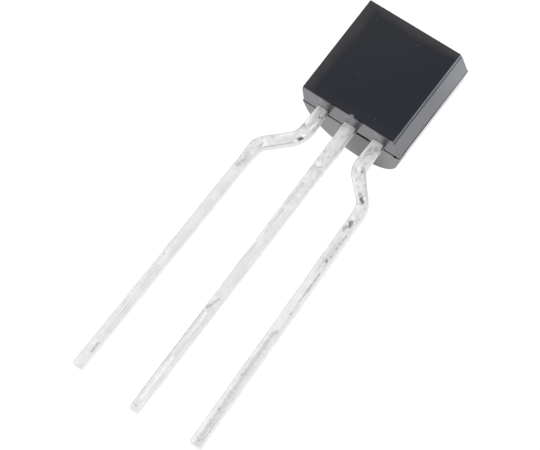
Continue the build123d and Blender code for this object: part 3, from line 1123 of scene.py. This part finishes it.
SUPPLY_MARKS = (
    # Painted highlight along the lead's left edge near the body.
    Mark((1.05, -0.02), (1.05, -0.65), 0.055, Tone.BRIGHT, 1.0, 0.5),
    Mark((1.38, -0.13), (1.33, -0.32), 0.085, Tone.SCUFF, 0.5, 1.2),
    Mark((1.36, -0.34), (1.34, -0.50), 0.06, Tone.SCUFF, 0.6, 1.1),
    # Painted shade on the lead's side at the body.
    Mark((1.53, 0.05), (1.52, -0.05), 0.13, Tone.SOOT, 0.9, 0.2, SIDE_HEIGHT),
    Mark((1.17, -0.30), (1.22, -0.62), 0.09, Tone.LEAD_GREY, 0.45, 1.3),
    Mark((1.44, -1.14), (1.50, -1.29), 0.06, Tone.LEAD_GREY, 0.75, 1.0),
    Mark((1.30, -1.22), (1.34, -1.26), 0.06, Tone.BRIGHT, 0.7, 0.6),
    Mark((1.36, -0.95), (1.42, -1.05), 0.07, Tone.SCUFF, 0.5, 1.3),
    Mark((1.50, -1.62), (1.52, -1.66), 0.035, Tone.SCUFF, 0.8),
    Mark((1.92, -2.00), (2.10, -2.12), 0.065, Tone.LEAD_GREY, 0.6, 1.1),
    Mark((2.12, -2.17), (2.21, -2.22), 0.085, Tone.SOOT, 0.85, 0.7),
    Mark((2.06, -2.26), (2.10, -2.30), 0.035, Tone.BRIGHT, 0.8, 0.4),
    Mark((2.34, -3.08), (2.38, -3.22), 0.10, Tone.SOOT, 0.75, 0.9),
    Mark((2.28, -3.36), (2.30, -3.48), 0.08, Tone.LEAD_GREY, 0.6, 1.1),
    Mark((2.44, -2.86), (2.46, -2.98), 0.07, Tone.SCUFF, 0.5, 1.2),
    Mark((2.52, -3.65), (2.54, -4.75), 0.045, Tone.LEAD_GREY, 0.5, 1.0),
    Mark((2.51, -4.80), (2.53, -4.90), 0.06, Tone.SOOT, 0.8, 0.8),
    Mark((2.36, -5.10), (2.37, -5.14), 0.03, Tone.SCUFF),
    Mark((2.58, -4.95), (2.66, -7.28), 0.032, Tone.LEAD_GREY, 0.75, 0.45),
    Mark((2.44, -3.95), (2.46, -5.35), 0.12, Tone.SCUFF, 0.38, 1.3),
    Mark((2.66, -8.04), (2.67, -8.12), 0.06, Tone.SCUFF, 0.7, 1.0),
    Mark((2.59, -8.53), (2.59, -8.55), 0.03, Tone.LEAD_GREY),
    Mark((2.60, -8.20), (2.83, -13.12), 0.11, Tone.SCUFF, 0.60, 0.8),
    Mark((2.90, -10.2), (2.95, -13.04), 0.014, Tone.LEAD_GREY, 0.7, 0.5),
    Mark((2.60, -10.13), (2.60, -10.15), 0.03, Tone.LEAD_GREY),
    Mark((2.72, -11.63), (2.72, -11.66), 0.035, Tone.LEAD_GREY),
    Mark((2.71, -12.47), (2.71, -12.50), 0.03, Tone.LEAD_GREY),
    Mark((2.84, -13.02), (2.84, -13.05), 0.035, Tone.LEAD_GREY),
)


def build_leads(place: PackagePlace) -> None:
    """Make the three formed leads.

    Args:
        place: Where the package lies.
    """
    OuterLead(
        place=place,
        node="ground_lead",
        exit_x=-1.29,
        length=13.16,
        edge_radius=0.09,
        twist=4.0,
        marks=GROUND_MARKS,
        dents=(Dent((-1.24, -1.41), 0.04, 0.20), Dent((-2.30, -2.45), 0.02, 0.25)),
        side=-1,
        first_bend=1.31,
        first_radius=0.92,
        jog=48.0,
        spread=2.515,
        second_radius=0.62,
        splay=0.97,
    ).build()
    OuterLead(
        place=place,
        node="supply_lead",
        exit_x=1.25,
        length=13.21,
        edge_radius=0.08,
        twist=-4.0,
        end_twist=-2.0,
        end_width=1.07,
        marks=SUPPLY_MARKS,
        dents=(
            Dent((2.36, -3.15), 0.04, 0.26),
            Dent((2.17, -2.20), 0.04, 0.18),
            Dent((1.45, -0.20), 0.03, 0.15),
        ),
        side=1,
        first_bend=1.25,
        first_radius=0.70,
        jog=45.0,
        spread=2.32,
        second_radius=0.90,
        splay=2.38,
        bend_width=0.53,
        jog_width=0.445,
        stock=Stock(width=0.425, shoulder_width=0.48),
    ).build()
    Lead(
        place=place,
        node="signal_lead",
        exit_x=-0.06,
        root_width=2.30,
        root_low=2.10,
        root_high=3.70,
        shoulder_drop=1.15,
        length=13.39,
        edge_radius=0.09,
        end_twist=13.0,
        end_width=0.84,
        marks=SIGNAL_MARKS,
        heading=math.radians(0.485),
        stock=Stock(width=0.485, shoulder_width=0.53),
        dents=(Dent((0.05, -1.96), 0.02, 0.24), Dent((0.02, -8.50), 0.02, 0.30)),
    ).build()


# ---- the CAD pieces ----


@dataclass
class SensorPieces:
    """Gives the carried-over pieces their finishes."""

    place: PackagePlace

    def finishes(self) -> dict[str, bpy.types.Material]:
        """Every piece's finish by its node name.

        Returns:
            Node name to material.
        """
        tin = TinPlate(self.place, "tin_plate").material()
        gold = InnerFinish(
            self.place, "bond_gold", (0.95, 0.68, 0.26, 1.0), (0.80, 0.54, 0.18, 1.0),
            metallic=1.0, roughness=0.2, clouds=Cloud(20.0, 3.0),
        ).material()
        silicon = InnerFinish(
            self.place, "silicon", (0.10, 0.12, 0.16, 1.0), (0.18, 0.17, 0.22, 1.0),
            metallic=0.0, roughness=0.12, clouds=Cloud(6.0, 3.0),
        ).material()
        adhesive = InnerFinish(
            self.place, "die_adhesive", (0.55, 0.55, 0.53, 1.0), (0.42, 0.42, 0.41, 1.0),
            metallic=0.3, roughness=0.6, clouds=Cloud(12.0, 3.0),
        ).material()
        return {
            "moulded_body": MouldCompound(self.place).material(),
            "ground_lead": tin,
            "signal_lead": tin,
            "supply_lead": tin,
            "sensor_die": silicon,
            "die_attach": adhesive,
            "ground_bond_wire": gold,
            "signal_bond_wire": gold,
            "supply_bond_wire": gold,
        }

    def dress(self) -> None:
        """Put each finish on its piece."""
        for name, material in self.finishes().items():
            mesh = frame["nodes"][name].data
            mesh.materials.clear()
            mesh.materials.append(material)
            log.info("dressed %s with %s", name, material.name)


# ---- studio ----


@dataclass(frozen=True)
class SoftBox:
    """One soft round light, aimed at the part: bearing in degrees, sizes in metres, power in watts."""

    name: str
    azimuth: float
    elevation: float
    power: float
    size: float = 0.24
    distance: float = 0.30

    def place_round(self, centre: Vector) -> None:
        """Hang the light on its bearing and turn it to the part.

        Args:
            centre: Middle of the part.
        """
        azimuth, elevation = math.radians(self.azimuth), math.radians(self.elevation)
        level = Vector((math.sin(azimuth), -math.cos(azimuth), 0.0)) * math.cos(elevation)
        bearing = level + Vector((0.0, 0.0, math.sin(elevation)))
        data = bpy.data.lights.new(self.name, "AREA")
        data.shape = "DISK"
        data.size = self.size
        data.energy = self.power
        light = bpy.data.objects.new(self.name, data)
        light.location = centre + bearing * self.distance
        light.rotation_mode = "QUATERNION"
        light.rotation_quaternion = (-bearing).to_track_quat("-Z", "Y")
        bpy.context.scene.collection.objects.link(light)


@dataclass(frozen=True)
class ViewPoint:
    """Camera on a long lens, looking down on the flat face from the lead end.

    Eye and aim are in the package's own axes, in millimetres. Lens and sensor are millimetres of a real
    camera, and the clips are metres.
    """

    place: PackagePlace
    eye: Point = (56.455, -46.027, 146.653)
    aim: Point = (-0.216, -4.738, 0.059)
    upward: Point = (-0.500261, 0.763492, 0.408435)
    lens: float = 295.90
    sensor_width: float = 36.0
    clip_start: float = 0.01
    clip_end: float = 10.0

    def add_camera(self) -> None:
        """Make the scene's camera."""
        back = (Vector(self.eye) - Vector(self.aim)).normalized()
        across = Vector(self.upward).cross(back).normalized()
        upward = back.cross(across)
        turn = Matrix((across, upward, back)).transposed().to_4x4()
        data = bpy.data.cameras.new("view_camera")
        data.lens = self.lens
        data.sensor_width = self.sensor_width
        data.clip_start = self.clip_start
        data.clip_end = self.clip_end
        camera = bpy.data.objects.new("view_camera", data)
        resting = self.place.matrix()
        spot = resting @ (Vector(self.eye) * MM)
        camera.matrix_world = Matrix.Translation(spot) @ resting.to_3x3().to_4x4() @ turn
        bpy.context.scene.collection.objects.link(camera)
        bpy.context.scene.camera = camera


@dataclass
class Studio:
    """Pale floor, soft light from all round and the camera."""

    place: PackagePlace
    centre: Vector
    floor_z: float
    floor_size: float = 1.2
    sky_strength: float = 1.0
    horizon_strength: float = 0.35
    horizon_low: float = 0.05
    horizon_high: float = 0.55
    lights: tuple[SoftBox, ...] = (
        SoftBox("soft_left", azimuth=-70.0, elevation=40.0, power=0.08),
        SoftBox("soft_right", azimuth=110.0, elevation=35.0, power=0.08),
        SoftBox("soft_top", azimuth=-40.0, elevation=57.0, power=0.06, size=0.11),
    )

    def add_floor(self) -> None:
        """Lay the pale card that the part lies on."""
        deselect_everything()
        bpy.ops.mesh.primitive_plane_add(size=self.floor_size, location=(0.0, 0.0, self.floor_z))
        floor = bpy.context.object
        floor.name = "studio_floor"
        floor.data.materials.append(PalePaper().material())
        floor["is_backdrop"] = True

    def add_sky(self) -> None:
        """Light the studio evenly from all round."""
        world = bpy.data.worlds.new("soft_sky")
        world.use_nodes = True
        tree = world.node_tree
        heading = tree.nodes.new("ShaderNodeTexCoord")
        parts = tree.nodes.new("ShaderNodeSeparateXYZ")
        rise = tree.nodes.new("ShaderNodeMapRange")
        rise.interpolation_type = "SMOOTHSTEP"
        rise.inputs["From Min"].default_value = self.horizon_low
        rise.inputs["From Max"].default_value = self.horizon_high
        rise.inputs["To Min"].default_value = self.horizon_strength
        rise.inputs["To Max"].default_value = self.sky_strength
        tree.links.new(heading.outputs["Generated"], parts.inputs[0])
        tree.links.new(parts.outputs["Z"], rise.inputs["Value"])
        tree.links.new(rise.outputs["Result"], tree.nodes["Background"].inputs["Strength"])
        tree.nodes["Background"].inputs["Color"].default_value = WHITE
        bpy.context.scene.world = world

    def build(self) -> None:
        """Set up floor, sky, lights and camera."""
        self.add_floor()
        self.add_sky()
        for light in self.lights:
            light.place_round(self.centre)
        ViewPoint(self.place).add_camera()
        bpy.context.scene.view_settings.view_transform = "Standard"


def main() -> None:
    """Build the visual model round the frame."""
    logging.basicConfig(level=logging.INFO, format="%(message)s")
    cad_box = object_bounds()
    centre = (cad_box[0] + cad_box[1]) / 2
    place = PackagePlace()
    SensorPieces(place).dress()
    build_leads(place)
    Studio(place, centre, cad_box[0].z).build()


if __name__ == "__main__":
    main()
